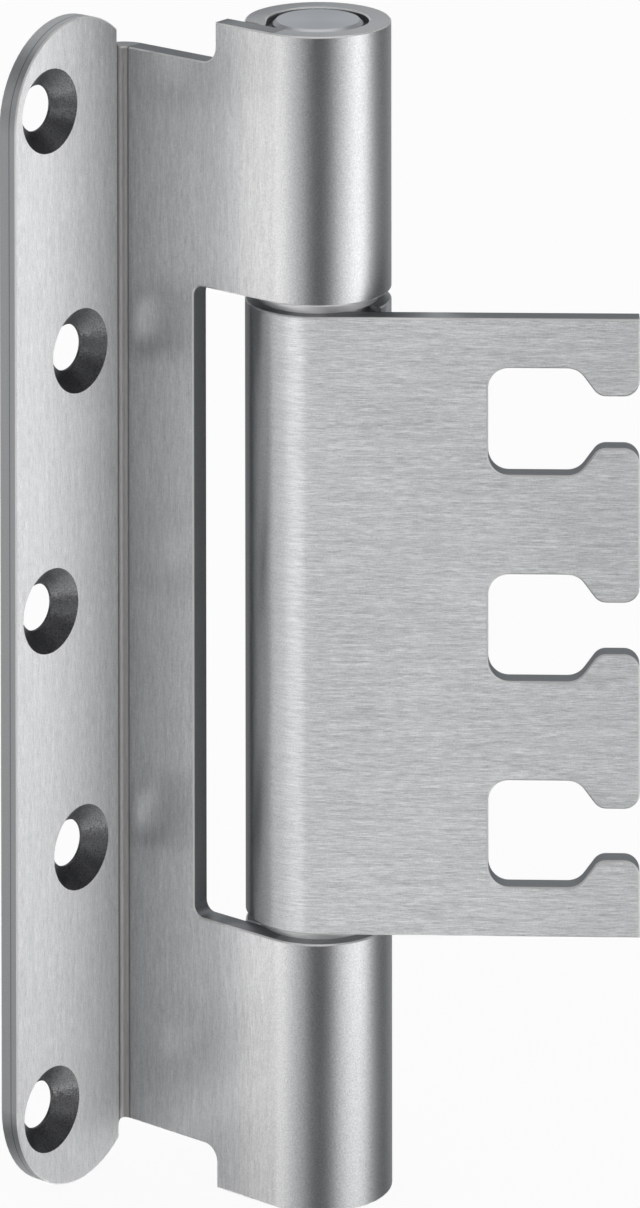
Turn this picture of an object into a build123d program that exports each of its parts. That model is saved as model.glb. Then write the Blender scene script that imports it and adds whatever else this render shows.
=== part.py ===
from build123d import *
import math
import os

# Rebated door hinge, three knuckles, folded and rolled from 3 mm stainless sheet.
# All sizes are in millimetres.
# The origin is the centre of the middle screw hole, on the seat face of the screw plate.
# +Y points out of the seat face into the door edge, +Z runs up along the hinge pin,
# and -X points from the fold to the free edge of the screw plate.

os.makedirs("parts", exist_ok=True)

# Sheet metal
sheet = 3.0
fold_inside_radius = 1.0
edge_break = 0.2

# Knuckles
hinge_height = 160.0
knuckle_radius = 10.0
middle_knuckle_height = 84.0
knuckle_gap = 1.4
roll_seam_gap = 0.15
roll_end_flat_angle = 125.0
frame_roll_end_angle = 30.0

# Screw plate of the door leaf
plate_width = 22.5
plate_end_radius = 13.0
outer_hole_from_fold = 15.3
inner_hole_from_fold = 9.0
hole_count = 5
end_hole_from_end = 11.6
screw_hole_diameter = 6.3
screw_head_diameter = 11.5
screw_head_angle = 90.0

# Flange between the screw plate and the knuckles
flange_length = 26.4
notch_depth = 5.65
notch_wall_from_fold = 1.0
notch_corner_radius = 2.2
notch_root_radius = 0.8
window_clearance = 3.9
window_corner_radius = 1.5

# Frame leaf
rest_angle = 126.4
leaf_length = 43.6
slot_count = 3
slot_pitch = 28.0
slot_depth = 20.4
cavity_height = 14.5
cavity_length = 12.1
shoulder_run = 2.8
throat_height = 7.0
cavity_corner_radius = 2.8
hook_radius = 2.0
mouth_radius = 2.1

# Pin, pin sleeves and bearing bushes
sleeve_wall = 0.8
sleeve_recess = 1.0
pin_chamfer = 0.5
running_clearance = 0.05
collar_rim = 1.2
bush_length = 22.0

# Worked out from the sizes above
bore_radius = knuckle_radius - sheet
pin_radius = bore_radius - sleeve_wall
collar_radius = bore_radius + collar_rim
window_edge_from_axis = knuckle_radius + window_clearance
hole_pitch = (hinge_height - 2 * end_hole_from_end) / (hole_count - 1)
fold_outside_radius = fold_inside_radius + sheet
top_z = hinge_height / 2
middle_top_z = middle_knuckle_height / 2
window_top_z = middle_top_z + knuckle_gap
outer_knuckle_height = top_z - window_top_z
fold_x = outer_hole_from_fold
plate_front_y = -sheet
flange_back_x = fold_x + sheet
axis_x = fold_x + knuckle_radius
axis_y = plate_front_y - flange_length
free_edge_x = fold_x - plate_width
notch_wall_x = fold_x - notch_wall_from_fold
notch_floor_z = top_z - notch_depth
notch_length = flange_length - fold_inside_radius - knuckle_radius
plate_arc_x = free_edge_x + plate_end_radius
plate_arc_z = top_z - plate_end_radius
bush_bore_radius = pin_radius + running_clearance
collar_height = knuckle_gap - running_clearance

# Door leaf, plan of the whole sheet: plate, fold, flange and roll
seam_x = flange_back_x + roll_seam_gap
seam_cos = (seam_x - axis_x) / knuckle_radius
seam_angle = math.degrees(math.acos(seam_cos))
flat_start = (
    axis_x + bore_radius * math.cos(math.radians(roll_end_flat_angle)),
    axis_y + bore_radius * math.sin(math.radians(roll_end_flat_angle)),
)
flat_run = (flat_start[0] - seam_x) / math.sin(math.radians(roll_end_flat_angle))
flat_end_y = flat_start[1] + flat_run * math.cos(math.radians(roll_end_flat_angle))
fold_centre = (fold_x - fold_inside_radius, plate_front_y - fold_inside_radius)
seam_outer_y = axis_y + knuckle_radius * math.sin(math.radians(seam_angle))

# Planes to sketch on: the plate's front face seen from the screw heads, and the flange's front face
hinge_plan = Plane.XY.offset(-top_z)
plate_face = Plane(origin=(0, plate_front_y, 0), x_dir=(1, 0, 0), z_dir=(0, -1, 0))
flange_face = Plane(origin=(fold_x, axis_y, 0), x_dir=(0, 1, 0), z_dir=(1, 0, 0))

# The frame leaf lies at its own angle: its plan, with the pin's axis as origin, and its front face
leaf_turn = math.radians(180.0 + rest_angle)
leaf_x_dir = (math.cos(leaf_turn), math.sin(leaf_turn), 0)
leaf_front_dir = (math.sin(leaf_turn), -math.cos(leaf_turn), 0)
leaf_plan = Plane(origin=(axis_x, axis_y, -middle_top_z), x_dir=leaf_x_dir, z_dir=(0, 0, 1))
leaf_face = Plane(
    origin=(axis_x + knuckle_radius * leaf_front_dir[0], axis_y + knuckle_radius * leaf_front_dir[1], 0),
    x_dir=leaf_x_dir,
    z_dir=leaf_front_dir,
)
roll_end = math.radians(frame_roll_end_angle)


def cut_outline(leaf):
    """Edges of the sheet's faces along its cut edge, but not those that run up the hinge or through it."""
    across = leaf.edges().filter_by(Axis.Z, reverse=True)
    return across.filter_by(lambda edge: abs(edge.length - sheet) > edge_break / 10)


# Door leaf: one sheet, cut, folded at the screw plate and rolled into the two outer knuckles
with BuildPart() as door_leaf:
    with BuildSketch(hinge_plan):
        with BuildLine():
            Line((free_edge_x, 0), (fold_centre[0], 0))
            CenterArc(fold_centre, fold_outside_radius, 90, -90)
            Line((flange_back_x, fold_centre[1]), (flange_back_x, axis_y))
            CenterArc((axis_x, axis_y), bore_radius, 180, roll_end_flat_angle + 180)
            Polyline(flat_start, (seam_x, flat_end_y), (seam_x, seam_outer_y))
            CenterArc((axis_x, axis_y), knuckle_radius, seam_angle, -(seam_angle + 180))
            Line((fold_x, axis_y), (fold_x, fold_centre[1]))
            CenterArc(fold_centre, fold_inside_radius, 0, 90)
            Polyline((fold_centre[0], plate_front_y), (free_edge_x, plate_front_y), (free_edge_x, 0))
        make_face()
    extrude(amount=hinge_height)

    # Rounded ends of the screw plate: what lies outside its outline is cut away
    with BuildSketch(plate_face):
        with Locations((notch_wall_x, 0)):
            Rectangle(2 * plate_width, 2 * hinge_height, align=(Align.MAX, Align.CENTER))
            Rectangle(
                plate_width - notch_wall_from_fold,
                2 * plate_arc_z,
                align=(Align.MAX, Align.CENTER),
                mode=Mode.SUBTRACT,
            )
        with Locations((plate_arc_x, plate_arc_z), (plate_arc_x, -plate_arc_z)):
            Circle(plate_end_radius, mode=Mode.SUBTRACT)
    extrude(amount=-sheet, mode=Mode.SUBTRACT)

    # Notches at both ends of the flange, level with the outside of the knuckles
    with BuildSketch(flange_face.offset(-sheet)) as notches:
        with Locations((knuckle_radius, notch_floor_z)):
            Rectangle(notch_length, 2 * notch_depth, align=(Align.MIN, Align.MIN))
        with Locations((knuckle_radius, -notch_floor_z)):
            Rectangle(notch_length, 2 * notch_depth, align=(Align.MIN, Align.MAX))
        knuckle_side = notches.vertices().group_by(Axis.X)[0].sort_by(Axis.Y)
        fillet(knuckle_side[1:3], notch_corner_radius)
    extrude(amount=3 * sheet, mode=Mode.SUBTRACT)

    # The notches run on through the fold and end at the flat plate in a small round
    with BuildSketch(plate_face.offset(fold_inside_radius)) as fold_notches:
        with Locations((notch_wall_x, notch_floor_z)):
            Rectangle(2 * sheet, 2 * notch_depth, align=(Align.MIN, Align.MIN))
        with Locations((notch_wall_x, -notch_floor_z)):
            Rectangle(2 * sheet, 2 * notch_depth, align=(Align.MIN, Align.MAX))
        plate_side = fold_notches.vertices().group_by(Axis.X)[0].sort_by(Axis.Y)
        fillet(plate_side[1:3], notch_root_radius)
    extrude(amount=-2 * sheet, mode=Mode.SUBTRACT)

    # Window that the middle knuckle turns in
    with BuildSketch(flange_face.offset(-sheet)) as window:
        with Locations((window_edge_from_axis, 0)):
            Rectangle(
                window_edge_from_axis + 2 * knuckle_radius,
                2 * window_top_z,
                align=(Align.MAX, Align.CENTER),
            )
        fillet(window.vertices().group_by(Axis.X)[-1], window_corner_radius)
    extrude(amount=2 * knuckle_radius + 2 * sheet, mode=Mode.SUBTRACT)

    chamfer(cut_outline(door_leaf), edge_break)

    # Screw holes, staggered in two columns and countersunk from the front
    with Locations(plate_face):
        with Locations(
            (fold_x - outer_hole_from_fold, 2 * hole_pitch),
            (fold_x - inner_hole_from_fold, hole_pitch),
            (fold_x - outer_hole_from_fold, 0),
            (fold_x - inner_hole_from_fold, -hole_pitch),
            (fold_x - outer_hole_from_fold, -2 * hole_pitch),
        ):
            CounterSinkHole(
                screw_hole_diameter / 2,
                screw_head_diameter / 2,
                depth=2 * sheet,
                counter_sink_angle=screw_head_angle,
            )

door_leaf.part.label = "door_leaf"
export_step(door_leaf.part, "parts/door_leaf.step")

# One open slot of the frame leaf, drawn from the middle of its mouth: a cavity, sloping shoulders,
# a narrower throat and a rounded mouth
with BuildSketch() as slot:
    with BuildLine():
        shoulder_x = cavity_length - slot_depth
        throat_x = shoulder_x + shoulder_run
        lip = throat_height / 2 + 2 * mouth_radius
        upper_side = [
            (-slot_depth, cavity_height / 2),
            (shoulder_x, cavity_height / 2),
            (throat_x, throat_height / 2),
            (0, throat_height / 2),
            (0, lip),
            (mouth_radius, lip),
        ]
        radii = [cavity_corner_radius, cavity_corner_radius, hook_radius, mouth_radius, 0, 0]
        lower_side = [(x, -y) for x, y in reversed(upper_side)]
        FilletPolyline(upper_side + lower_side, radius=radii + radii[::-1], close=True)
    make_face()

# Frame leaf: one sheet, rolled into the middle knuckle, with the open slots in its end
with BuildPart() as frame_leaf:
    with BuildSketch(leaf_plan):
        with BuildLine():
            Polyline(
                (0, -knuckle_radius),
                (leaf_length, -knuckle_radius),
                (leaf_length, -bore_radius),
                (0, -bore_radius),
            )
            CenterArc((0, 0), bore_radius, 270, -(270 + frame_roll_end_angle))
            Line(
                (bore_radius * math.cos(roll_end), -bore_radius * math.sin(roll_end)),
                (knuckle_radius * math.cos(roll_end), -knuckle_radius * math.sin(roll_end)),
            )
            CenterArc((0, 0), knuckle_radius, -frame_roll_end_angle, 270 + frame_roll_end_angle)
        make_face()
    extrude(amount=middle_knuckle_height)
    with BuildSketch(leaf_face):
        with Locations((leaf_length, 0)):
            with GridLocations(0, slot_pitch, 1, slot_count):
                add(slot.sketch)
    extrude(amount=-sheet, mode=Mode.SUBTRACT)
    chamfer(cut_outline(frame_leaf), edge_break)

frame_leaf.part.label = "frame_leaf"
export_step(frame_leaf.part, "parts/frame_leaf.step")

# Hinge pin, flush with both outer knuckles
with BuildPart() as hinge_pin:
    with Locations((axis_x, axis_y, 0)):
        Cylinder(pin_radius, hinge_height)
    chamfer(hinge_pin.edges().filter_by(GeomType.CIRCLE), pin_chamfer)

hinge_pin.part.label = "hinge_pin"
export_step(hinge_pin.part, "parts/hinge_pin.step")

# Plain bearing bush with a collar, seated in the top of the middle knuckle
with BuildPart() as upper_bearing_bush:
    with BuildSketch(Plane(origin=(axis_x, axis_y, middle_top_z))):
        Circle(bore_radius)
        Circle(bush_bore_radius, mode=Mode.SUBTRACT)
    extrude(amount=-bush_length)
    with BuildSketch(Plane(origin=(axis_x, axis_y, middle_top_z))):
        Circle(collar_radius)
        Circle(bush_bore_radius, mode=Mode.SUBTRACT)
    extrude(amount=collar_height)

upper_bearing_bush.part.label = "upper_bearing_bush"
export_step(upper_bearing_bush.part, "parts/upper_bearing_bush.step")

# The same bush, turned over, in the bottom of the middle knuckle
with BuildPart() as lower_bearing_bush:
    mirror(upper_bearing_bush.part, about=Plane.XY)

lower_bearing_bush.part.label = "lower_bearing_bush"
export_step(lower_bearing_bush.part, "parts/lower_bearing_bush.step")

# Sleeve that holds the pin in the upper knuckle
with BuildPart() as upper_pin_sleeve:
    with BuildSketch(Plane(origin=(axis_x, axis_y, window_top_z))):
        Circle(bore_radius)
        Circle(pin_radius, mode=Mode.SUBTRACT)
    extrude(amount=outer_knuckle_height - sleeve_recess)

upper_pin_sleeve.part.label = "upper_pin_sleeve"
export_step(upper_pin_sleeve.part, "parts/upper_pin_sleeve.step")

# The same sleeve in the lower knuckle
with BuildPart() as lower_pin_sleeve:
    mirror(upper_pin_sleeve.part, about=Plane.XY)

lower_pin_sleeve.part.label = "lower_pin_sleeve"
export_step(lower_pin_sleeve.part, "parts/lower_pin_sleeve.step")
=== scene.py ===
# %% [markdown]
# # A rebated door hinge in satin stainless steel
# The hinge is cut from 3 mm sheet, folded and rolled, and turns on a flush pin. Its whole look is in the metal:
# one sheet is ground lengthwise, the other crosswise, and the cut edges stay dull. The shapes come from the
# measured model, so this lesson is about light, camera and brushed metal.

# %% Load the frame
import bpy
import math
from mathutils import Matrix, Vector

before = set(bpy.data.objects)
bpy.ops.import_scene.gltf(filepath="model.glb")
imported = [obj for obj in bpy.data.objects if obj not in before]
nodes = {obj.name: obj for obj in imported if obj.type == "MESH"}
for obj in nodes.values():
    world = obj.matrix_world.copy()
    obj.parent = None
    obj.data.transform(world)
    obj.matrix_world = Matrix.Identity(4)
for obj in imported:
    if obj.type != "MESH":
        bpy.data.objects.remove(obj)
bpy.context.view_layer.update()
MM = 0.001

# %% [markdown]
# ## Where things are on the hinge
# The pin's axis, the fold and the screw holes come up again and again: for the camera, for the light around
# the hinge and for the grain of the metal. They are named once, in millimetres.

# %% Places on the hinge
SHEET = 3.0
AXIS = (25.3, -29.4, 0.0)
KNUCKLE_RADIUS = 10.0
HALF_HEIGHT = 80.0
FOLD_CENTRE = (14.3, -4.0, 0.0)
FLANGE_BACK_X = 18.3
HOLE_PITCH = 34.2
INNER_HOLE_X = 6.3
COUNTERSINK_RADIUS = 5.75
REST_ANGLE = 126.4
leaf_turn = math.radians(180.0 + REST_ANGLE)
leaf_along = (math.cos(leaf_turn), math.sin(leaf_turn), 0.0)
leaf_out = (math.sin(leaf_turn), -math.cos(leaf_turn), 0.0)
pin_axis = Vector(AXIS) * MM
print("pin axis in m:", tuple(round(v, 4) for v in pin_axis), "leaf along", [round(v, 3) for v in leaf_along])

# %% [markdown]
# ## Camera
# The photograph looks down at the hinge, yet its upright edges stay parallel: a view camera does that, whose
# picture plane stays upright while the lens looks downwards. A camera that leans would make them converge.
# Here the camera gets a slanting matrix instead of a turned one, through a parent that holds it. Its columns
# are the picture's right, the picture's up, the slanting line back from the hinge to the lens, and the lens's
# place in metres.

# %% Camera with an upright picture plane
PICTURE_RIGHT = (0.62513, -0.78050, -0.00502)
PICTURE_UP = (0.01940, 0.01388, 0.99972)
BACK_TO_LENS = (-0.74548, -0.58707, 0.31559)
LENS_PLACE = (-0.68681, -0.59044, 0.30124)
SENSOR_WIDTH, LENS = 36.0, 208.56
NEAREST, FARTHEST = 0.01, 50.0
columns = [Vector(PICTURE_RIGHT), Vector(PICTURE_UP), Vector(BACK_TO_LENS), Vector(LENS_PLACE)]
slant = Matrix([[column[row] for column in columns] for row in range(3)] + [[0, 0, 0, 1]])

camera_data = bpy.data.cameras.new("camera")
camera_data.sensor_fit = "AUTO"
camera_data.sensor_width = SENSOR_WIDTH
camera_data.lens = LENS
camera_data.clip_start, camera_data.clip_end = NEAREST, FARTHEST
camera = bpy.data.objects.new("camera", camera_data)
holder = bpy.data.objects.new("camera_holder", None)
for item in (camera, holder):
    bpy.context.scene.collection.objects.link(item)
camera.parent = holder
camera.matrix_parent_inverse = slant
bpy.context.scene.camera = camera
bpy.context.view_layer.update()
print("lens to pin axis, mm:", round((camera.matrix_world.translation - pin_axis).to_2d().length / MM))

# %% [markdown]
# ## Wiring nodes in short
# Materials are graphs of small nodes. Written out in full they are long and hard to read, so a few helpers
# place a node, feed its sockets with numbers or with other sockets, and hand back its output.

# %% Helpers that wire nodes
def place(tree, kind, **options):
    """Adds a shader node and sets its options."""
    node = tree.nodes.new("ShaderNode" + kind)
    for key, value in options.items():
        setattr(node, key, value)
    return node


def feed(tree, socket, value):
    """Gives a socket its value: another socket, a number or a few numbers."""
    if isinstance(value, bpy.types.NodeSocket):
        tree.links.new(value, socket)
    else:
        socket.default_value = value


def feed_all(tree, sockets, values):
    """Gives several sockets their values, in order."""
    for socket, value in zip(sockets, values):
        feed(tree, socket, value)


def calc(tree, operation, *values):
    """A Math node."""
    node = place(tree, "Math", operation=operation)
    feed_all(tree, node.inputs, values)
    return node.outputs[0]


def vector_calc(tree, operation, *values):
    """A Vector Math node. Dot products and lengths are numbers, the rest are vectors."""
    node = place(tree, "VectorMath", operation=operation)
    feed_all(tree, node.inputs, values)
    return node.outputs["Value" if operation in ("DOT_PRODUCT", "LENGTH") else "Vector"]


def split(tree, vector):
    """The three numbers of a vector."""
    node = place(tree, "SeparateXYZ")
    feed(tree, node.inputs[0], vector)
    return node.outputs[0], node.outputs[1], node.outputs[2]


def join(tree, x, y, z=0.0):
    """A vector from three numbers."""
    node = place(tree, "CombineXYZ")
    feed_all(tree, node.inputs, (x, y, z))
    return node.outputs[0]


print("node helpers ready")

# %% Helpers that mix and fade
MIX_SOCKETS = {"FLOAT": (2, 3, 0), "VECTOR": (4, 5, 1), "RGBA": (6, 7, 2)}


def mix(tree, kind, share, first, second):
    """Mixes two values of one kind: share 0 is the first, 1 the second."""
    node = place(tree, "Mix", data_type=kind)
    at_first, at_second, at_result = MIX_SOCKETS[kind]
    feed_all(tree, (node.inputs[0], node.inputs[at_first], node.inputs[at_second]), (share, first, second))
    return node.outputs[at_result]


def choose(tree, share, first, second):
    """Mixes two numbers."""
    return mix(tree, "FLOAT", share, first, second)


def tint(tree, share, first, second):
    """Mixes two colours."""
    return mix(tree, "RGBA", share, first, second)


def ease(tree, value, low, high, first=0.0, last=1.0):
    """Goes softly from first to last while value goes from low to high."""
    node = place(tree, "MapRange", interpolation_type="SMOOTHSTEP")
    names = ("Value", "From Min", "From Max", "To Min", "To Max")
    feed_all(tree, [node.inputs[name] for name in names], (value, low, high, first, last))
    return node.outputs["Result"]


def grey(tone, coolness=0.0):
    """A grey, slightly blue where coolness is above 0."""
    return (tone * (1 - coolness), tone, tone * (1 + coolness), 1.0)


print("mixing helpers ready, for", list(MIX_SOCKETS))

# %% [markdown]
# ## Studio
# Satin steel shows what stands around it, so the studio is drawn first. The room is white. Photographers put
# bright metal in a light tent: a grey wall all round, with brighter soft panels where the metal should shine
# and dark ones where it should stay calm. Flat cards would need many objects, so here the tent is one round
# wall, and its panels are drawn by turn and lift with soft borders. The tent is seen only in the metal. The
# places and tones of the panels were fitted to the photograph's reflections and then tuned, together
# with the colours of the metal, so neither is a measurement: another pair could give the same picture.

# %% White room
SOFT_LIGHT, SOFT_STRENGTH = (0.95, 0.97, 1.0, 1.0), 0.75
world = bpy.data.worlds.new("white_room")
bpy.context.scene.world = world
world.use_nodes = True
room = world.node_tree
room.nodes.clear()
rays = place(room, "LightPath")
seen = calc(room, "MAXIMUM", rays.outputs["Is Camera Ray"], rays.outputs["Is Glossy Ray"])
seen = calc(room, "MAXIMUM", seen, rays.outputs["Is Transmission Ray"])
soft_light, white = place(room, "Background"), place(room, "Background")
feed_all(room, soft_light.inputs, (SOFT_LIGHT, SOFT_STRENGTH))
feed_all(room, white.inputs, (grey(1.0), 1.0))
either = place(room, "MixShader")
feed_all(room, either.inputs, (seen, soft_light.outputs[0], white.outputs[0]))
feed(room, place(room, "OutputWorld").inputs["Surface"], either.outputs[0])
bpy.context.scene.view_settings.view_transform = "Standard"
print("room:", len(room.nodes), "nodes")

# %% The tent's wall
TENT_RADIUS = 1.5
TENT_LOW, TENT_HIGH = -61, 54
TENT_SIDES, TENT_ROWS = 72, 17


def tent_wall(name):
    """A round wall about the pin's axis, between two lifts in degrees. Above and below it the room is white."""
    points, faces = [], []
    for row in range(TENT_ROWS + 1):
        lift = math.radians(TENT_LOW + (TENT_HIGH - TENT_LOW) * row / TENT_ROWS)
        out, up = TENT_RADIUS * math.cos(lift), TENT_RADIUS * math.sin(lift)
        for side in range(TENT_SIDES):
            turn = 2 * math.pi * side / TENT_SIDES
            points.append((out * math.cos(turn), out * math.sin(turn), up))
            if row < TENT_ROWS:
                beside = (side + 1) % TENT_SIDES
                low, high = row * TENT_SIDES, (row + 1) * TENT_SIDES
                faces.append((low + side, high + side, high + beside, low + beside))
    mesh = bpy.data.meshes.new(name)
    mesh.from_pydata(points, [], faces)
    wall = bpy.data.objects.new(name, mesh)
    bpy.context.scene.collection.objects.link(wall)
    wall.location = pin_axis
    return wall


tent = tent_wall("light_tent")
tent.visible_camera = False
tent.visible_diffuse = False
tent.visible_shadow = False
tent.visible_transmission = False
print("tent wall:", len(tent.data.polygons), "faces")

# %% Panels on the wall
PICTURE_TURN = -51.0
PANEL_FADE, LIFT_FADE = 10.0, 7.0
TENT_TONE, COOLNESS = 0.15, 0.03
# name: turn from the picture's right, half width, lowest and highest lift, tone
PANELS = {
    "back_panel": (90.0, 47.0, -27.0, 54.0, 0.6),
    "left_panel": (-142.0, 32.0, -28.8, -5.1, 1.3),
    "upper_front_panel": (-113.2, 28.9, 5.9, 16.9, 4.1),
    "lower_front_panel": (-97.0, 15.0, -64.0, -37.9, 4.5),
    "front_dark_card": (-73.0, 39.0, -43.1, 5.4, 0.01),
    "right_strip": (-40.5, 24.0, -30.5, -9.0, 1.72),
    "right_tail": (-22.0, 14.0, -24.4, 18.0, 2.95),
    "right_dark_card": (16.0, 20.0, -58.4, -6.8, 0.11),
    "back_dark_card": (163.0, 21.0, -45.0, 42.0, 0.01),
}
print("panels:", list(PANELS))

# %% The wall's glow
def tent_light(panels):
    """One tone all round, and each panel over it with soft borders. Only the panels below 1 are cool."""
    material = bpy.data.materials.new("tent_light")
    material.use_nodes = True
    tree = material.node_tree
    tree.nodes.clear()
    where = place(tree, "TexCoord").outputs["Object"]
    x, y, z = split(tree, where)
    turn = calc(tree, "DEGREES", calc(tree, "ARCTAN2", y, x))
    from_axis = vector_calc(tree, "LENGTH", join(tree, x, y))
    lift = calc(tree, "DEGREES", calc(tree, "ARCTAN2", z, from_axis))
    colour = grey(TENT_TONE, COOLNESS)
    for centre, half_width, low, high, tone in panels.values():
        aside = calc(tree, "SUBTRACT", turn, centre + PICTURE_TURN)
        aside = calc(tree, "ABSOLUTE", calc(tree, "WRAP", aside, 180.0, -180.0))
        share = ease(tree, aside, half_width - PANEL_FADE / 2, half_width + PANEL_FADE / 2, 1.0, 0.0)
        above_low = ease(tree, lift, low - LIFT_FADE / 2, low + LIFT_FADE / 2)
        below_high = ease(tree, lift, high - LIFT_FADE / 2, high + LIFT_FADE / 2, 1.0, 0.0)
        share = calc(tree, "MULTIPLY", share, calc(tree, "MULTIPLY", above_low, below_high))
        colour = tint(tree, share, colour, grey(tone, COOLNESS if tone < 1 else 0.0))
    glow = place(tree, "Emission")
    feed(tree, glow.inputs["Color"], colour)
    feed(tree, place(tree, "OutputMaterial").inputs["Surface"], glow.outputs[0])
    return material


tent.data.materials.append(tent_light(PANELS))
print("tent light:", len(tent.data.materials[0].node_tree.nodes), "nodes")

# %% [markdown]
# ## Floor
# A pale floor under the hinge. The photograph has plain white behind the hinge, so the floor shows almost
# white to the camera and keeps only a breath of the hinge's shadow.

# %% Pale floor
FLOOR_REACH = 4.0
FLOOR_GAP = 0.2
FLOOR_TONE = 0.85
WHITE_TO_CAMERA = 0.93
floor_z = -(HALF_HEIGHT + FLOOR_GAP) * MM
corners = [(-FLOOR_REACH, -FLOOR_REACH, floor_z), (FLOOR_REACH, -FLOOR_REACH, floor_z),
           (FLOOR_REACH, FLOOR_REACH, floor_z), (-FLOOR_REACH, FLOOR_REACH, floor_z)]
floor_mesh = bpy.data.meshes.new("floor")
floor_mesh.from_pydata(corners, [], [(0, 1, 2, 3)])
floor = bpy.data.objects.new("floor", floor_mesh)
bpy.context.scene.collection.objects.link(floor)
floor.visible_glossy = False
pale = bpy.data.materials.new("pale_floor")
pale.use_nodes = True
tree = pale.node_tree
tree.nodes.clear()
matt, bright = place(tree, "BsdfDiffuse"), place(tree, "Emission")
feed(tree, matt.inputs["Color"], grey(FLOOR_TONE))
feed(tree, bright.inputs["Color"], grey(1.0))
share = calc(tree, "MULTIPLY", place(tree, "LightPath").outputs["Is Camera Ray"], WHITE_TO_CAMERA)
either = place(tree, "MixShader")
feed_all(tree, either.inputs, (share, matt.outputs[0], bright.outputs[0]))
feed(tree, place(tree, "OutputMaterial").inputs["Surface"], either.outputs[0])
floor_mesh.materials.append(pale)
print("floor at", round(floor_z / MM, 2), "mm")

# %% [markdown]
# ## Ground metal
# A belt grinder leaves fine parallel lines, a fraction of a millimetre wide and several long. They could be
# modelled, but there are thousands; noise that is stretched along the lines gives the same look. Each effect
# is a node group, so that both leaves use the same lines with their own direction.

# %% Making a node group
def new_group(name, takes, gives):
    """An empty node group. takes: input name to kind and first value; gives: output name to kind."""
    group = bpy.data.node_groups.new(name, "ShaderNodeTree")
    for key, (kind, value) in takes.items():
        socket = group.interface.new_socket(key, in_out="INPUT", socket_type="NodeSocket" + kind)
        socket.default_value = value
    for key, kind in gives.items():
        group.interface.new_socket(key, in_out="OUTPUT", socket_type="NodeSocket" + kind)
    return group, group.nodes.new("NodeGroupInput").outputs, group.nodes.new("NodeGroupOutput").inputs


def use_group(tree, group, **values):
    """Places a group in a material and feeds its inputs. A blank in an input's name is written as _ here."""
    node = place(tree, "Group")
    node.node_tree = group
    for key, value in values.items():
        feed(tree, node.inputs[key.replace("_", " ")], value)
    return node.outputs


NOISE_MEAN, NOISE_SPREAD = 0.5, 3.0


def noise(tree, vector, scale, detail=2.0, roughness=0.5):
    """Noise about zero, from about -1 to 1."""
    node = place(tree, "TexNoise", noise_dimensions="3D")
    names = ("Vector", "Scale", "Detail", "Roughness")
    feed_all(tree, [node.inputs[name] for name in names], (vector, scale, detail, roughness))
    return calc(tree, "MULTIPLY", calc(tree, "SUBTRACT", node.outputs[0], NOISE_MEAN), NOISE_SPREAD)


print("group helpers ready")

# %% Lines from the grinding belt
FINE_SHARE, BROAD_SHARE = 0.9, 0.3
BROAD_SCALE = 0.21
CLOUDS_PER_MM = 0.045
ground_lines, take, give = new_group(
    "ground_lines",
    {"Position": ("Vector", (0, 0, 0)), "Squeeze": ("Vector", (1, 1, 0.09)), "Lines per mm": ("Float", 8.0)},
    {"Lines": "Float", "Clouds": "Float"},
)
tree = ground_lines
along = vector_calc(tree, "MULTIPLY", take["Position"], take["Squeeze"])
fine = noise(tree, along, take["Lines per mm"], detail=3.0, roughness=0.6)
broad = noise(tree, along, calc(tree, "MULTIPLY", take["Lines per mm"], BROAD_SCALE), detail=1.0)
fine, broad = calc(tree, "MULTIPLY", fine, FINE_SHARE), calc(tree, "MULTIPLY", broad, BROAD_SHARE)
feed(tree, give["Lines"], calc(tree, "ADD", fine, broad))
feed(tree, give["Clouds"], noise(tree, take["Position"], CLOUDS_PER_MM, detail=1.0))
print("lines per mm:", tree.interface.items_tree["Lines per mm"].default_value)

# %% Grains of the rolled and cut faces
fine_grains, take, give = new_group(
    "fine_grains",
    {"Position": ("Vector", (0, 0, 0)), "Grains per mm": ("Float", 5.0)},
    {"Grains": "Float"},
)
tree = fine_grains
feed(tree, give["Grains"], noise(tree, take["Position"], take["Grains per mm"], roughness=0.65))
print("grains per mm:", tree.interface.items_tree["Grains per mm"].default_value)

# %% [markdown]
# ## Faces, cut edges and corners
# A sheet's two faces are ground, its cut edges are not. Which is which can be read from the direction a spot
# faces: along the sheet's thickness on a face, across it on a cut edge, and halfway on the small broken corner
# between them, which is painted bright as a highlight. The number for this is named Square: 1 on a face, 0 on a cut
# edge.

# %% Finish of a 3 mm sheet: what it takes and gives
sheet_finish, take, give = new_group(
    "sheet_finish",
    {
        "Square": ("Float", 1.0), "Rolled": ("Float", 0.0), "Lines": ("Float", 0.0), "Clouds": ("Float", 0.0),
        "Grains": ("Float", 0.0), "Sheet Colour": ("Color", grey(0.75)), "Cut Colour": ("Color", grey(0.42)),
        "Line Contrast": ("Float", 0.06), "Grain Contrast": ("Float", 0.06), "Sheet Roughness": ("Float", 0.38),
        "Rolled Roughness": ("Float", 0.31), "Rolled Tone": ("Float", 0.84), "Cut Roughness": ("Float", 0.5),
    },
    {"Colour": "Color", "Roughness": "Float", "Height": "Float", "Cut": "Float"},
)
tree = sheet_finish
CUT_FADE = (0.62, 0.80)
CORNER_STARTS, CORNER_ENDS = (0.52, 0.64), (0.78, 0.90)
cut = ease(tree, take["Square"], *CUT_FADE, 1.0, 0.0)
corner_starts = ease(tree, take["Square"], *CORNER_STARTS)
corner = calc(tree, "MULTIPLY", corner_starts, ease(tree, take["Square"], *CORNER_ENDS, 1.0, 0.0))
lines = calc(tree, "MULTIPLY", take["Lines"], calc(tree, "SUBTRACT", 1.0, take["Rolled"]))
print("sheet_finish takes", len(take) - 1, "inputs")

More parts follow.
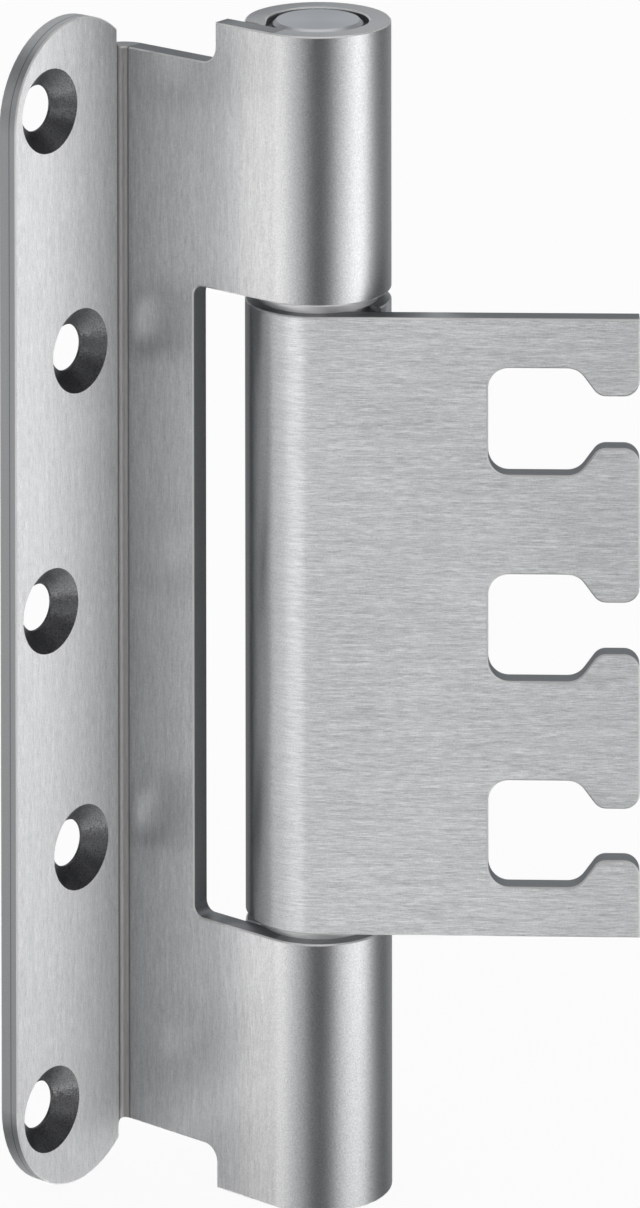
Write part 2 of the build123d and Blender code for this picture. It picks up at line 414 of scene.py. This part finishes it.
# %% Finish of a 3 mm sheet: colour
FACE_GRAIN_SHARE = 0.5
CLOUD_CONTRAST = 0.02
CUT_GRAIN_CONTRAST = 0.14
# The broken corner's pale colour is a painted highlight.
CORNER_HIGHLIGHT_TONE = 0.95
tone = calc(tree, "MULTIPLY_ADD", lines, take["Line Contrast"], 1.0)
grain_contrast = calc(tree, "MULTIPLY", take["Grain Contrast"], choose(tree, take["Rolled"], FACE_GRAIN_SHARE, 1.0))
tone = calc(tree, "MULTIPLY_ADD", take["Grains"], grain_contrast, tone)
tone = calc(tree, "MULTIPLY_ADD", take["Clouds"], CLOUD_CONTRAST, tone)
tone = calc(tree, "MULTIPLY", tone, choose(tree, take["Rolled"], 1.0, take["Rolled Tone"]))
face_colour = vector_calc(tree, "MULTIPLY", take["Sheet Colour"], join(tree, tone, tone, tone))
cut_tone = calc(tree, "MULTIPLY_ADD", take["Grains"], CUT_GRAIN_CONTRAST, 1.0)
cut_colour = vector_calc(tree, "MULTIPLY", take["Cut Colour"], join(tree, cut_tone, cut_tone, cut_tone))
colour = tint(tree, cut, face_colour, cut_colour)
feed(tree, give["Colour"], tint(tree, corner, colour, grey(CORNER_HIGHLIGHT_TONE)))
print("sheet colour:", len(tree.nodes), "nodes")

# %% Finish of a 3 mm sheet: roughness and relief
LINE_ROUGHNESS, CLOUD_ROUGHNESS = 0.035, 0.015
CORNER_ROUGHNESS = 0.7
rough = choose(tree, take["Rolled"], take["Sheet Roughness"], take["Rolled Roughness"])
rough = calc(tree, "MULTIPLY_ADD", lines, LINE_ROUGHNESS, rough)
rough = calc(tree, "MULTIPLY_ADD", take["Clouds"], CLOUD_ROUGHNESS, rough)
rough = choose(tree, cut, rough, take["Cut Roughness"])
feed(tree, give["Roughness"], choose(tree, corner, rough, CORNER_ROUGHNESS))
grainy = calc(tree, "MAXIMUM", cut, take["Rolled"])
feed(tree, give["Height"], choose(tree, grainy, lines, take["Grains"]))
feed(tree, give["Cut"], cut)
print("sheet_finish:", len(tree.nodes), "nodes")

# %% [markdown]
# ## Reading a place from the metal
# A finish changes where the sheet is folded, rolled or drilled. Each place is found from the spot's position,
# in the hinge's own axes, so that the marks stay put when the leaf swings. A place is a share: 1 inside and 0
# outside, and shares are multiplied where both must hold.

# %% Where a spot is and where it faces
def spot(tree):
    """Position in millimetres and facing, both in the hinge's own axes."""
    where = place(tree, "TexCoord")
    return vector_calc(tree, "MULTIPLY", where.outputs["Object"], (1 / MM, 1 / MM, 1 / MM)), where.outputs["Normal"]


def from_upright_line(tree, position, line):
    """The level step from an upright line to a spot."""
    return vector_calc(tree, "MULTIPLY", vector_calc(tree, "SUBTRACT", position, line), (1.0, 1.0, 0.0))


def square_to(tree, facing, direction):
    """How squarely a spot faces along a direction, from either side."""
    cosine = vector_calc(tree, "DOT_PRODUCT", facing, vector_calc(tree, "NORMALIZE", direction))
    return calc(tree, "ABSOLUTE", cosine)


def above(tree, value, level):
    """1 where the value is above the level, else 0."""
    return calc(tree, "GREATER_THAN", value, level)


def opposite(tree, share):
    """1 minus the share."""
    return calc(tree, "SUBTRACT", 1.0, share)


def all_true(tree, *shares):
    """1 only where every share is 1."""
    result = shares[0]
    for share in shares[1:]:
        result = calc(tree, "MULTIPLY", result, share)
    return result


print("place helpers ready")

# %% [markdown]
# ## Gloss along the grain
# Ground lines draw the gloss out across themselves. The shader does this with its Anisotropic value and a
# tangent, which says where the lines run: here upright, or level after a quarter turn. The mesh of a knuckle
# has flats, so its shading gets the facing of a true cylinder, and the mesh itself stays as it was measured.
# The gain is small.

# %% The metal shader and its relief
QUARTER_TURN = 0.25


def steel(name, grain_gloss, cross_grain=False, edge_tone=0.8):
    """A metal whose gloss is drawn out across its grain. edge_tone: the shine that stays at a flat angle."""
    material = bpy.data.materials.new(name)
    material.use_nodes = True
    tree = material.node_tree
    shader = tree.nodes["Principled BSDF"]
    shader.inputs["Metallic"].default_value = 1.0
    shader.inputs["Anisotropic"].default_value = grain_gloss
    shader.inputs["Specular Tint"].default_value = grey(edge_tone)
    shader.inputs["Anisotropic Rotation"].default_value = QUARTER_TURN if cross_grain else 0.0
    feed(tree, shader.inputs["Tangent"], place(tree, "Tangent", direction_type="RADIAL", axis="Z").outputs[0])
    return material, tree, shader


def to_room(tree, direction, kind="VECTOR"):
    """A direction in the hinge's own axes, turned to the room's."""
    node = place(tree, "VectorTransform", vector_type=kind, convert_from="OBJECT", convert_to="WORLD")
    feed(tree, node.inputs[0], direction)
    return node.outputs[0]


def round_facing(tree, facing, from_pin, on_roll):
    """The facing of a true cylinder on a knuckle, and the mesh's own elsewhere."""
    outward = vector_calc(tree, "NORMALIZE", from_pin)
    side = calc(tree, "SIGN", vector_calc(tree, "DOT_PRODUCT", facing, outward))
    outward = vector_calc(tree, "MULTIPLY", outward, join(tree, side, side, side))
    return to_room(tree, mix(tree, "VECTOR", on_roll, facing, outward), "NORMAL")


def relief(tree, height, strength, depth_mm, facing=None):
    """Turns a height into a fine relief."""
    node = place(tree, "Bump")
    feed_all(tree, (node.inputs["Strength"], node.inputs["Distance"], node.inputs["Height"]),
             (strength, depth_mm * MM, height))
    if facing is not None:
        feed(tree, node.inputs["Normal"], facing)
    return node.outputs[0]


print("metal helpers ready")

# %% [markdown]
# ## Door leaf
# The screw plate, the fold, the flange and the two outer knuckles are one sheet, ground along its height. The
# gloss of such lines spreads sideways. On the knuckles the photograph shows fine grains instead, perhaps from
# rolling after grinding. Two dark lines along the fold look like marks of the press tool, and each screw hole
# has a countersink, taken to be turned.

# %% Where the door leaf's parts are
CLEAR = 0.1
GRAIN_GLOSS = 0.8
ROLL_START, ROLL_FULL = AXIS[1] + 4.0, AXIS[1] - 5.0
door_steel, tree, shader = steel("door_leaf_steel", GRAIN_GLOSS)
position, facing = spot(tree)
x, y, z = split(tree, position)
face_x, face_y = split(tree, facing)[:2]
from_pin = from_upright_line(tree, position, AXIS)
from_fold = from_upright_line(tree, position, FOLD_CENTRE)
past_plate = above(tree, x, FOLD_CENTRE[0])
in_plate = opposite(tree, past_plate)
in_fold = all_true(tree, past_plate, above(tree, y, FOLD_CENTRE[1]))
past_fold = all_true(tree, past_plate, opposite(tree, in_fold))
before_back = opposite(tree, above(tree, x, FLANGE_BACK_X + CLEAR))
in_flange = all_true(tree, past_fold, above(tree, y, AXIS[1]), before_back)
square = square_to(tree, facing, from_pin)
square = choose(tree, in_flange, square, calc(tree, "ABSOLUTE", face_x))
square = choose(tree, in_fold, square, square_to(tree, facing, from_fold))
square = choose(tree, in_plate, square, calc(tree, "ABSOLUTE", face_y))
rolled = all_true(tree, past_plate, ease(tree, y, ROLL_FULL, ROLL_START, 1.0, 0.0))
print("door leaf zones:", len(tree.nodes), "nodes")

# %% Door leaf: countersinks
RING_PITCH = 0.28
SLANTED = 0.97
outer_row = join(tree, x, calc(tree, "WRAP", z, HOLE_PITCH, -HOLE_PITCH))
inner_z = calc(tree, "SUBTRACT", calc(tree, "WRAP", z, 2 * HOLE_PITCH, 0.0), HOLE_PITCH)
inner_row = join(tree, calc(tree, "SUBTRACT", x, INNER_HOLE_X), inner_z)
from_outer, from_inner = vector_calc(tree, "LENGTH", outer_row), vector_calc(tree, "LENGTH", inner_row)
from_hole = calc(tree, "MINIMUM", from_outer, from_inner)
in_hole = all_true(tree, in_plate, opposite(tree, above(tree, from_hole, COUNTERSINK_RADIUS + CLEAR)),
                   opposite(tree, above(tree, square, SLANTED)))
slope = mix(tree, "VECTOR", above(tree, from_outer, from_inner), outer_row, inner_row)
slope_x, slope_z = split(tree, slope)[:2]
turned_rings = calc(tree, "SINE", calc(tree, "MULTIPLY", from_hole, 2 * math.pi / RING_PITCH))
print("countersinks at pitch", HOLE_PITCH, "mm, rings at", RING_PITCH, "mm")

# %% Door leaf: the fold's tool marks
MARK_FADE = (0.03, 0.14)
FOLD_EDGE = 0.15
INSIDE_REACH = 2.0
out_x, out_y = split(tree, from_fold)[:2]
round_fold = calc(tree, "DIVIDE", calc(tree, "ARCTAN2", out_x, out_y), math.pi / 2)
inside_fold = all_true(tree, opposite(tree, above(tree, vector_calc(tree, "LENGTH", from_fold), INSIDE_REACH)),
                       above(tree, y, FOLD_CENTRE[1] - FOLD_EDGE), above(tree, x, FOLD_CENTRE[0] - FOLD_EDGE))
first_mark = ease(tree, calc(tree, "ABSOLUTE", round_fold), *MARK_FADE, 1.0, 0.0)
last_mark = calc(tree, "ABSOLUTE", calc(tree, "SUBTRACT", round_fold, 1.0))
last_mark = ease(tree, last_mark, *MARK_FADE, 1.0, 0.0)
marks = all_true(tree, inside_fold, calc(tree, "MAXIMUM", first_mark, last_mark))
print("fold centre", FOLD_CENTRE[:2], "marks within", INSIDE_REACH, "mm")

# %% [markdown]
# ## Door leaf: sheet and cut edges
# Shears cut a sheet through about a third and break the rest, which leaves a line along the plate's edge. The
# plate and the flange are one sheet of one metal, yet they have two colours here, and the strip where the flange
# turns into the knuckle has a third. These were tuned, because in this light one colour came out too pale
# on the flange and too dark beside the knuckle. In other light they show as differences of tone.

# %% Door leaf: faces and cut edges
# The plate's paler colour and the flange's darker one are lit and shaded copies of one sheet: painted light on the
# plate, painted shade on the flange.
PLATE_COLOUR, FLANGE_COLOUR = (0.815, 0.82, 0.825, 1), (0.565, 0.575, 0.585, 1)
STRIP_HIGHLIGHT_TONE = 0.86
STRIP_ON_ROLL, STRIP_ON_FLANGE = (-4.0, -0.5), (0.5, 11.0)
EDGE_COLOUR, FLANGE_EDGE_COLOUR = (0.50, 0.51, 0.52, 1), (0.30, 0.31, 0.32, 1)
SHEAR_DEPTH, SHEAR_FADE = 1.15, (0.03, 0.14)
SHEAR_COLOUR = grey(0.26, 0.03)
PLATE_ROUGHNESS, FLANGE_ROUGHNESS = 0.50, 0.38
lines = use_group(tree, ground_lines, Position=position)
grains = use_group(tree, fine_grains, Position=position)["Grains"]
past_roll = calc(tree, "SUBTRACT", y, AXIS[1])
# A paler strip where the flange turns into the knuckle: a painted highlight.
highlight_strip = all_true(tree, before_back, past_plate, ease(tree, past_roll, *STRIP_ON_ROLL),
                  ease(tree, past_roll, *STRIP_ON_FLANGE, 1.0, 0.0))
sheet_colour = tint(tree, in_plate, FLANGE_COLOUR, PLATE_COLOUR)
finish = use_group(tree, sheet_finish, Square=square, Rolled=rolled, Lines=lines["Lines"], Clouds=lines["Clouds"],
                   Grains=grains, Sheet_Colour=tint(tree, highlight_strip, sheet_colour, grey(STRIP_HIGHLIGHT_TONE)),
                   Cut_Colour=tint(tree, in_flange, EDGE_COLOUR, FLANGE_EDGE_COLOUR),
                   Line_Contrast=0.27, Grain_Contrast=0.34, Rolled_Roughness=0.31,
                   Sheet_Roughness=choose(tree, in_plate, FLANGE_ROUGHNESS, PLATE_ROUGHNESS))
from_shear = calc(tree, "ABSOLUTE", calc(tree, "SUBTRACT", calc(tree, "ADD", y, SHEET), SHEAR_DEPTH))
shear_line = all_true(tree, in_plate, ease(tree, from_shear, *SHEAR_FADE, 1.0, 0.0), finish["Cut"],
                      opposite(tree, in_hole))
colour = tint(tree, shear_line, finish["Colour"], SHEAR_COLOUR)
print("door leaf sheet:", len(tree.nodes), "nodes")

# %% Door leaf: colour of the fold and the countersinks
CREASE_SHADE_DARK, CREASE_SHADE_PALE = (0.36, 0.34, 0.34, 1), (0.58, 0.56, 0.55, 1)
MARK_COLOUR = (0.16, 0.155, 0.155, 1)
CONE_DARK, CONE_PALE, CONE_SHADE = grey(0.10, 0.02), grey(0.44, 0.02), grey(0.02)
FOLD_SHARE, MARK_SHARE = 0.8, 0.6
FOLD_CONTRAST, CONE_CONTRAST, HALF = 0.25, 0.6, 0.5
SHADE_FADE, SHADE_SHARE = (-4.0, 1.5), 0.65
# The inside of the fold is darkened: painted shade in the crease, with the grinding lines in it.
crease_shade = tint(tree, calc(tree, "MULTIPLY_ADD", lines["Lines"], FOLD_CONTRAST, HALF), CREASE_SHADE_DARK, CREASE_SHADE_PALE)
colour = tint(tree, calc(tree, "MULTIPLY", inside_fold, FOLD_SHARE), colour, crease_shade)
colour = tint(tree, calc(tree, "MULTIPLY", marks, MARK_SHARE), colour, MARK_COLOUR)
cone = tint(tree, calc(tree, "MULTIPLY_ADD", grains, CONE_CONTRAST, HALF), CONE_DARK, CONE_PALE)
# The lower side of each countersink is darkened: painted shade.
cone = tint(tree, ease(tree, slope_z, *SHADE_FADE, SHADE_SHARE, 0.0), cone, CONE_SHADE)
feed(tree, shader.inputs["Base Color"], tint(tree, in_hole, colour, cone))
print("door leaf colour:", len(tree.nodes), "nodes")

# %% [markdown]
# ## Door leaf: gloss in the countersinks
# A countersink is turned, so its rings draw the gloss out along the slope. The tangent there points down the
# cone, and the grains throw it about, as the chatter of the tool does, so that no sharp star of light shows.

# %% Door leaf: gloss and relief
TOOLED_ROUGHNESS = 0.42
RELIEF_STRENGTH, RELIEF_DEPTH = 0.35, 0.012
ROUND_ENOUGH = 0.98
tooled = calc(tree, "MAXIMUM", in_hole, inside_fold)
feed(tree, shader.inputs["Roughness"], choose(tree, tooled, finish["Roughness"], TOOLED_ROUGHNESS))
scatter = calc(tree, "MULTIPLY", grains, math.pi)
straight, aside = calc(tree, "COSINE", scatter), calc(tree, "SINE", scatter)
thrown_x = calc(tree, "SUBTRACT", calc(tree, "MULTIPLY", slope_x, straight), calc(tree, "MULTIPLY", slope_z, aside))
thrown_z = calc(tree, "ADD", calc(tree, "MULTIPLY", slope_z, straight), calc(tree, "MULTIPLY", slope_x, aside))
down_cone = to_room(tree, join(tree, thrown_x, 0.0, thrown_z))
round_z = shader.inputs["Tangent"].links[0].from_socket
feed(tree, shader.inputs["Tangent"], mix(tree, "VECTOR", in_hole, round_z, down_cone))
height = choose(tree, in_hole, finish["Height"], calc(tree, "ADD", turned_rings, grains))
on_roll = all_true(tree, past_fold, opposite(tree, in_flange), above(tree, square, ROUND_ENOUGH))
facing = round_facing(tree, facing, from_pin, on_roll)
feed(tree, shader.inputs["Normal"], relief(tree, height, RELIEF_STRENGTH, RELIEF_DEPTH, facing))
nodes["door_leaf"].data.materials[0] = door_steel
print("door leaf steel:", len(tree.nodes), "nodes")

# %% [markdown]
# ## Frame leaf
# The leaf that goes into the frame has the same sheet, ground across the hinge, so its lines run level and its
# gloss spreads up and down. Its knuckle is rolled and grainy like the others. Its edge tone is lower than the
# other leaf's only to keep it grey against the white room when it is seen from behind at a flat angle.

# %% Where the frame leaf is flat and where it is rolled
ROLLED_REACH = (-9.0, -1.0)
frame_steel, tree, shader = steel("frame_leaf_steel", GRAIN_GLOSS, cross_grain=True, edge_tone=0.4)
position, facing = spot(tree)
from_pin = from_upright_line(tree, position, AXIS)
reach = vector_calc(tree, "DOT_PRODUCT", from_pin, leaf_along)
stand_off = vector_calc(tree, "DOT_PRODUCT", from_pin, leaf_out)
on_tongue = all_true(tree, above(tree, reach, 0.0), above(tree, stand_off, KNUCKLE_RADIUS - SHEET - CLEAR))
square = choose(tree, on_tongue, square_to(tree, facing, from_pin), square_to(tree, facing, leaf_out))
rolled = ease(tree, reach, *ROLLED_REACH, 1.0, 0.0)
on_roll = all_true(tree, opposite(tree, on_tongue), above(tree, square, ROUND_ENOUGH))
print("frame leaf zones:", len(tree.nodes), "nodes")

# %% Frame leaf steel
TONGUE_COLOUR, SLOT_EDGE_COLOUR = (0.755, 0.765, 0.775, 1), (0.42, 0.43, 0.44, 1)
SHADED_REACH, SHADED_TONES = (-9.5, -3.5), (0.55, 0.92)
lines = use_group(tree, ground_lines, Position=position, Squeeze=(0.05, 0.05, 1.0), Lines_per_mm=11.0)
grains = use_group(tree, fine_grains, Position=position)["Grains"]
finish = use_group(tree, sheet_finish, Square=square, Rolled=rolled, Lines=lines["Lines"], Clouds=lines["Clouds"],
                   Grains=grains, Sheet_Colour=TONGUE_COLOUR, Cut_Colour=SLOT_EDGE_COLOUR,
                   Line_Contrast=0.46, Grain_Contrast=0.3, Sheet_Roughness=0.38, Rolled_Roughness=0.36,
                   Rolled_Tone=ease(tree, reach, *SHADED_REACH, *SHADED_TONES))
feed(tree, shader.inputs["Base Color"], finish["Colour"])
feed(tree, shader.inputs["Roughness"], finish["Roughness"])
facing = round_facing(tree, facing, from_pin, on_roll)
feed(tree, shader.inputs["Normal"], relief(tree, finish["Height"], RELIEF_STRENGTH, RELIEF_DEPTH, facing))
nodes["frame_leaf"].data.materials[0] = frame_steel
print("frame leaf steel:", len(tree.nodes), "nodes")

# %% [markdown]
# ## Pin and bearings
# The pin's flat ends are turned, with rings about its axis, and a broken corner. Round it sits a dark steel
# sleeve, and between the knuckles pale bearing collars show. All turned parts share one finish, each with its
# own tone.

# %% Finish of a turned part
RINGS_PER_MM, SPECKS_PER_MM = 4.5, 3.5
RING_SHARE, SPECK_SHARE = 0.6, 0.5
RING_ROUGHNESS = 0.03
turned_finish, take, give = new_group(
    "turned_finish",
    {"Position": ("Vector", (0, 0, 0)), "Axis": ("Vector", AXIS), "Metal Colour": ("Color", grey(0.6)),
     "Ring Contrast": ("Float", 0.05), "Roughness": ("Float", 0.35)},
    {"Colour": "Color", "Roughness": "Float", "Height": "Float"},
)
tree = turned_finish
from_axis = vector_calc(tree, "LENGTH", from_upright_line(tree, take["Position"], take["Axis"]))
rings = noise(tree, join(tree, from_axis, split(tree, take["Position"])[2]), RINGS_PER_MM)
specks = noise(tree, take["Position"], SPECKS_PER_MM, roughness=0.6)
mottled = calc(tree, "ADD", calc(tree, "MULTIPLY", rings, RING_SHARE), calc(tree, "MULTIPLY", specks, SPECK_SHARE))
tone = calc(tree, "MULTIPLY_ADD", mottled, take["Ring Contrast"], 1.0)
feed(tree, give["Colour"], vector_calc(tree, "MULTIPLY", take["Metal Colour"], join(tree, tone, tone, tone)))
feed(tree, give["Roughness"], calc(tree, "MULTIPLY_ADD", mottled, RING_ROUGHNESS, take["Roughness"]))
feed(tree, give["Height"], mottled)
print("turned_finish:", len(tree.nodes), "nodes")

# %% Pin, collars and sleeves
# name: metal colour, ring contrast, roughness, gloss along the grain, pieces
TURNED = {
    "pin_steel": ((0.60, 0.615, 0.635, 1), 0.05, 0.42, 0.4, ["hinge_pin"]),
    "bearing_metal": ((0.90, 0.90, 0.90, 1), 0.03, 0.5, 0.0, ["upper_bearing_bush", "lower_bearing_bush"]),
    "sleeve_steel": ((0.11, 0.11, 0.115, 1), 0.15, 0.45, 0.3, ["upper_pin_sleeve", "lower_pin_sleeve"]),
}
TURNED_STRENGTH, TURNED_DEPTH = 0.2, 0.008
for name, (metal, contrast, rough, gloss, pieces) in TURNED.items():
    material, tree, shader = steel(name, gloss)
    finish = use_group(tree, turned_finish, Position=spot(tree)[0], Metal_Colour=metal, Ring_Contrast=contrast,
                       Roughness=rough)
    feed(tree, shader.inputs["Base Color"], finish["Colour"])
    feed(tree, shader.inputs["Roughness"], finish["Roughness"])
    feed(tree, shader.inputs["Normal"], relief(tree, finish["Height"], TURNED_STRENGTH, TURNED_DEPTH))
    for piece in pieces:
        nodes[piece].data.materials[0] = material
    print(name, "on", pieces)
